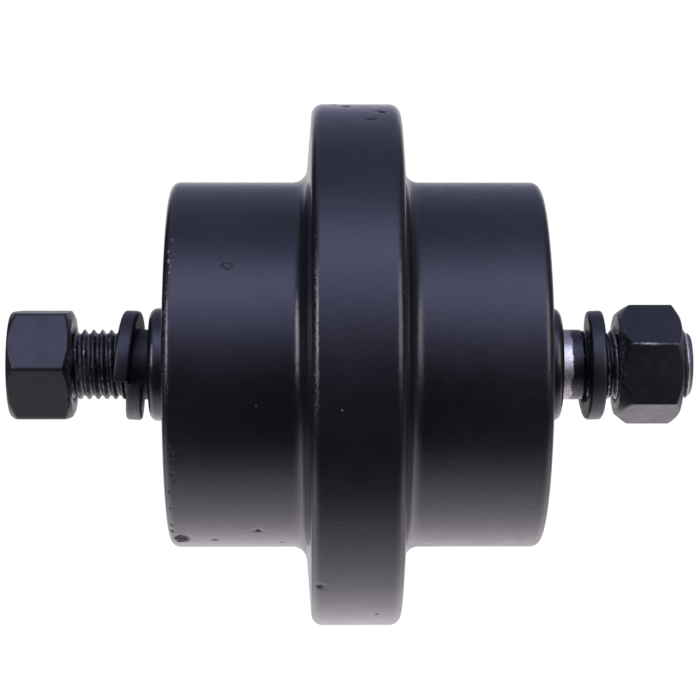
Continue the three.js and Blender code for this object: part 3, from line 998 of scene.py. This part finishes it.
def shaft_finish():
    """Painted shank, greasy thread with worn crests that also carry painted glints, and a bare turned band
    beside the right collar with a painted highlight in front.
    """
    finish = Finish("stub_shaft")
    radius, y, angle = finish.axis_parts()
    on_left = finish.ramp(y, 0, -1)

    # The bare band, with a painted highlight: lighter steel in front than round it
    coarse = finish.ramp(finish.noise(2.4, 3, 0.6, seed=41), 0.3, 0.7, -0.35, 0.35)
    ragged = finish.ramp(finish.noise(0.35, 5, 0.8, seed=40), 0.3, 0.7, -0.28, 0.28)
    edge = finish.maths("ADD", finish.maths("ADD", y, coarse), ragged)
    bare = finish.ramp(edge, BARE_BAND_END + 0.2, BARE_BAND_END - 0.2)
    bare = finish.times(bare, finish.ramp(y, 40, 40.5))
    scratched = finish.noise(0.55, 6, 0.8, finish.stretched(1, 2.2, 1), 42)
    scuffs = finish.ramp(scratched, 0.34, 0.56)
    front_highlight = finish.ramp(finish.off(angle, 7), 34, 8)
    steel = finish.mix(front_highlight, finish.mix(scuffs, *DULL_STEEL), finish.mix(scuffs, *FRONT_HIGHLIGHT_STEEL))

    # Oil on the thread, and thick grease beside the left nut and on the right tip
    reach = finish.maths("ABSOLUTE", y)
    threaded = finish.ramp(reach, THREAD_START - 0.4, THREAD_START + 0.6)
    around = finish.stretched(0.3, 1, 0.3)
    oil = finish.times(threaded, finish.ramp(finish.noise(0.9, 5, 0.7, around, 43), 0.45, 0.65))
    dark = finish.mix(oil, *OILY_BLACK)
    clots = finish.ramp(finish.noise(1.3, 4, 0.7, around, 48), 0.42, 0.6)
    dark = finish.mix(finish.times(finish.ramp(y, -59.0, -61.5), clots), dark, GREASE_BESIDE_NUT)
    tip = finish.ramp(y, 72.5, 73.5)
    dark = finish.mix(tip, dark, TIP_GREASE)

    # Crests worn bright where the streaks are above least, which is lower where more of them shine. They
    # are partly wear and partly painted glints: least is lowered in the shaded gap between the right washer
    # and nut for more glints, and raised low on the left as painted shade
    gap = finish.times(finish.ramp(y, 56.6, 57.4), finish.ramp(y, 61.5, 60.5))
    least = finish.mix_value(tip, finish.mix_value(gap, 0.57, 0.42), 0.36)
    least = finish.maths("ADD", least, finish.times(on_left, finish.ramp(angle, -30, -60, 0, 0.04)))
    streaks = finish.noise(0.5, 5, 0.75, around, 44)
    worn = finish.ramp(finish.maths("SUBTRACT", streaks, least), 0.0, 0.07)
    crest = finish.ramp(radius, STUB_RADIUS - 0.75, STUB_RADIUS - 0.2)
    glint = finish.times(finish.times(threaded, worn), crest)
    worn_glint_steel = finish.mix(tip, WORN_CREST_GLINTS, WORN_TIP_GLINTS)
    colour = finish.mix(bare, finish.mix(glint, dark, worn_glint_steel), steel)
    metallic = finish.maths("MAXIMUM", finish.times(glint, 0.8), bare)

    shank = finish.ramp(finish.noise(2, 3, seed=45), 0.3, 0.7, 0.32, 0.4)
    shank = finish.maths("ADD", shank, finish.times(on_left, 0.18))
    satin = finish.mix_value(threaded, shank, 0.27)
    roughness = finish.mix_value(bare, satin, finish.ramp(scratched, 0.3, 0.7, 0.52, 0.34))
    turning = finish.noise(0.18, 2, 0.5, finish.stretched(0.04, 1, 0.04), 46)
    normal = finish.bump(finish.times(turning, bare), 0.02)
    normal = finish.bump(finish.times(threaded, finish.noise(0.5, 4, 0.65, seed=47)), 0.13, normal)
    normal = finish.bump(finish.times(bare, scratched), 0.07, normal)
    return finish.finish(colour, roughness, metallic, normal)


def metal(name, dark, light, low, high, grain, depth, turned_marks=True):
    """Bare metal between two shades and two roughnesses. Turned marks are drawn out round the axis."""
    finish = Finish(name)
    marks = finish.noise(grain, 4, 0.6, finish.stretched(0.05, 1, 0.05) if turned_marks else None, 51)
    colour = finish.mix(finish.ramp(marks, 0.3, 0.7), dark, light)
    roughness = finish.ramp(finish.noise(2.5, 3, seed=52), 0.3, 0.7, low, high)
    return finish.finish(colour, roughness, 1.0, finish.bump(marks, depth))


def rubber_finish():
    finish = Finish("nitrile_rubber")
    bloom = finish.noise(3, 4, seed=61)
    colour = finish.mix(finish.ramp(bloom, 0.3, 0.75), *RUBBER)
    normal = finish.bump(finish.noise(0.3, 3, seed=62), 0.02)
    return finish.finish(colour, finish.ramp(bloom, 0.3, 0.7, 0.6, 0.75), 0.0, normal)


SHELL_PAINT = shell_paint()
FINISHES = {
    "black_paint": plain_paint(),
    "shaft_steel": shaft_finish(),
    "nut_black": nut_finish(),
    "washer_black": washer_finish(),
    "seal_rubber": rubber_finish(),
    "bush_bronze": metal("bearing_bronze", (0.30, 0.17, 0.06), (0.52, 0.33, 0.15), 0.25, 0.4, 0.3, 0.01),
    "seal_iron": metal("seal_iron", (0.16, 0.16, 0.165), (0.32, 0.32, 0.33), 0.2, 0.4, 0.25, 0.008),
    "bare_steel": metal("pin_steel", (0.28, 0.27, 0.27), (0.5, 0.49, 0.48), 0.3, 0.45, 0.4, 0.01, False),
    "zinc_plate": metal("zinc_plate", (0.42, 0.42, 0.38), (0.62, 0.61, 0.56), 0.28, 0.42, 0.5, 0.01, False),
}

for node, (piece, slot) in pieces.items():
    piece.data.materials.clear()
    piece.data.materials.append(SHELL_PAINT if node == "roller_shell" else FINISHES[slot])


# ---- studio ----

# How bright the studio is, seen from the roller: (degrees above the front, brightness, red, blue)
STUDIO = [
    (-180, 1.00, 1.05, 1.06),
    (-165, 1.10, 1.08, 1.06),
    (-150, 1.40, 1.10, 1.06),
    (-125, 1.65, 1.10, 1.16),
    (-105, 1.50, 1.06, 1.19),
    (-90, 1.33, 1.04, 1.17),
    (-76, 0.90, 1.03, 1.17),
    (-64, 0.39, 1.03, 1.18),
    (-52, 0.10, 1.0, 1.2),
    (-40, 0.035, 1.0, 1.2),
    (-14, 0.035, 1.0, 1.2),
    (-5, 0.08, 1.0, 1.4),
    (6, 0.22, 1.0, 1.55),
    (16, 0.52, 0.97, 1.65),
    (26, 0.96, 0.95, 1.7),
    (37, 1.45, 0.95, 1.7),
    (48, 1.88, 0.95, 1.68),
    (56, 1.66, 0.95, 1.65),
    (65, 1.12, 0.94, 1.65),
    (77, 0.57, 0.94, 1.7),
    (91, 0.36, 0.94, 1.7),
    (107, 0.33, 0.95, 1.65),
    (126, 0.36, 0.96, 1.6),
    (139, 0.36, 0.98, 1.55),
    (152, 0.45, 1.0, 1.5),
    (165, 0.80, 1.0, 1.2),
]
# The dim parts of the studio beside the roller: (side, colour)
UNLIT_SIDES = [(-1, (0.03, 0.03, 0.036)), (1, (0.16, 0.155, 0.19))]
# The white wall behind starts this far round from the front, and further round at the upper left
WHITE_WALL = (1.0, 0.98, 1.03)
WALL_START = (118, 134)
UPPER_LEFT_DELAY = 24
# Upright strip lights: (side, degrees from the front to both edges, sine of the top's height, brightness)
STRIP_LIGHTS = [(-1, (39, 63), 0.53, 6.5), (1, (25, 60), 0.62, 3.3)]
STRIP_TINT = (1.0, 0.96, 1.1)
FLOOR_DROP = 400
ROOM_SIZE = 2600
ROOM_FILLET = 700
FLOOR_GLOW = 1.02
# The camera's lens and sensor are in millimetres, and its places in metres
LENS = 118.4
SENSOR = 36
CAMERA_PLACE = (0.525, -0.0081, 0.0033)
CAMERA_TARGET = (0, -0.0012, 0.0033)


class Sky(Graph):
    """The studio as the roller sees it in every direction. +X is the front, +Y the right."""

    def __init__(self):
        world = bpy.data.worlds.new("studio")
        bpy.context.scene.world = world
        world.use_nodes = True
        super().__init__(world.node_tree)
        split = self.nodes.new("ShaderNodeSeparateXYZ")
        self.links.new(self.nodes.new("ShaderNodeTexCoord").outputs["Generated"], split.inputs[0])
        self.front, self.sideways, self.up = split.outputs
        self.beside = self.maths("ABSOLUTE", self.sideways)

    def towards(self, side):
        """1 on the side asked for, which is -1 for the left and 1 for the right, and 0 on the other."""
        return self.ramp(self.sideways, 0, 0.05 * side)

    def colours_round(self, angle, rows):
        """Colours at degrees from -180 to 180, which close on themselves."""
        share = self.maths("ADD", self.maths("DIVIDE", angle, FULL_TURN), 0.5)
        ramp = self.nodes.new("ShaderNodeValToRGB")
        stops = ramp.color_ramp.elements
        closed = rows + [(180, *rows[0][1:])]
        while len(stops) < len(closed):
            stops.new(0.5)
        for stop, (degrees, bright, red, blue) in zip(stops, closed):
            stop.position = (degrees + 180) / 360
            stop.color = (bright * red, bright, bright * blue, 1)
        self.links.new(share, ramp.inputs[0])
        return ramp.outputs[0]

    def mix(self, share, first, second):
        """Blends a colour socket with a fixed colour."""
        node = self.nodes.new("ShaderNodeMixRGB")
        self.links.new(share, node.inputs["Fac"])
        self.links.new(first, node.inputs["Color1"])
        node.inputs["Color2"].default_value = (*second, 1)
        return node.outputs[0]


def studio_light():
    """Soft light above the front and from below, two upright strip lights, and a white wall behind."""
    sky = Sky()
    bright = sky.colours_round(sky.maths("ARCTAN2", sky.up, sky.front), STUDIO)

    aside = sky.times(sky.ramp(sky.beside, 0.3, 0.62), sky.ramp(sky.up, -0.53, -0.27))
    aside = sky.times(aside, sky.ramp(sky.up, 0.85, 0.6))
    for side, unlit in UNLIT_SIDES:
        bright = sky.mix(sky.times(aside, sky.towards(side)), bright, unlit)

    round_from_front = sky.times(sky.maths("ARCTAN2", sky.beside, sky.front), 360 / FULL_TURN)
    upper_left = sky.times(sky.ramp(sky.sideways, 0.05, -0.05), sky.ramp(sky.up, -0.05, 0.1))
    round_to_wall = sky.maths("SUBTRACT", round_from_front, sky.times(upper_left, UPPER_LEFT_DELAY))
    level = sky.maths("ABSOLUTE", sky.up)
    behind = sky.times(sky.ramp(round_to_wall, *WALL_START), sky.ramp(level, 0.45, 0.2))
    bright = sky.mix(behind, bright, WHITE_WALL)

    for side, (inner, outer), top, strength in STRIP_LIGHTS:
        upright = sky.times(sky.ramp(sky.up, -0.16, 0.16), sky.ramp(sky.up, top + 0.07, top - 0.07))
        strip = sky.times(upright, sky.towards(side))
        strip = sky.times(strip, sky.ramp(round_from_front, inner - 4, inner + 4))
        strip = sky.times(strip, sky.ramp(round_from_front, outer + 5, outer - 5))
        bright = sky.mix(strip, bright, tuple(strength * tint for tint in STRIP_TINT))
    sky.links.new(bright, sky.nodes["Background"].inputs["Color"])


def backdrop():
    """A pale floor that curves up into a wall all round. It glows evenly and lights nothing."""
    corners = [
        (0.01, -FLOOR_DROP),
        (ROOM_SIZE, -FLOOR_DROP, ROOM_FILLET),
        (ROOM_SIZE, ROOM_SIZE, ROOM_FILLET),
        (0.01, ROOM_SIZE),
    ]
    skin = Skin()
    # The outline is turned about +Y, and the room stands along +Z
    skin.patch(revolved(outline(corners, 12, closed=False), 64)[:, :, [0, 2, 1]])
    floor = skin.build("floor")
    floor.data.flip_normals()
    material = bpy.data.materials.new("pale_floor")
    material.use_nodes = True
    shader = material.node_tree.nodes["Principled BSDF"]
    shader.inputs["Base Color"].default_value = (0, 0, 0, 1)
    shader.inputs["Specular IOR Level"].default_value = 0
    shader.inputs["Emission Color"].default_value = (1, 1, 1, 1)
    shader.inputs["Emission Strength"].default_value = FLOOR_GLOW
    floor.data.materials.append(material)
    floor.visible_diffuse = floor.visible_glossy = False
    floor.visible_shadow = floor.visible_transmission = False


def camera():
    """The photograph's view, almost square to the spin axis."""
    data = bpy.data.cameras.new("camera")
    data.lens = LENS
    data.sensor_width = SENSOR
    data.clip_start = 0.01
    eye = bpy.data.objects.new("camera", data)
    bpy.context.scene.collection.objects.link(eye)
    eye.location = CAMERA_PLACE
    target = Vector(CAMERA_TARGET)
    eye.rotation_euler = (target - eye.location).to_track_quat("-Z", "Y").to_euler()
    bpy.context.scene.camera = eye


camera()
studio_light()
backdrop()
bpy.context.scene.view_settings.view_transform = "Standard"
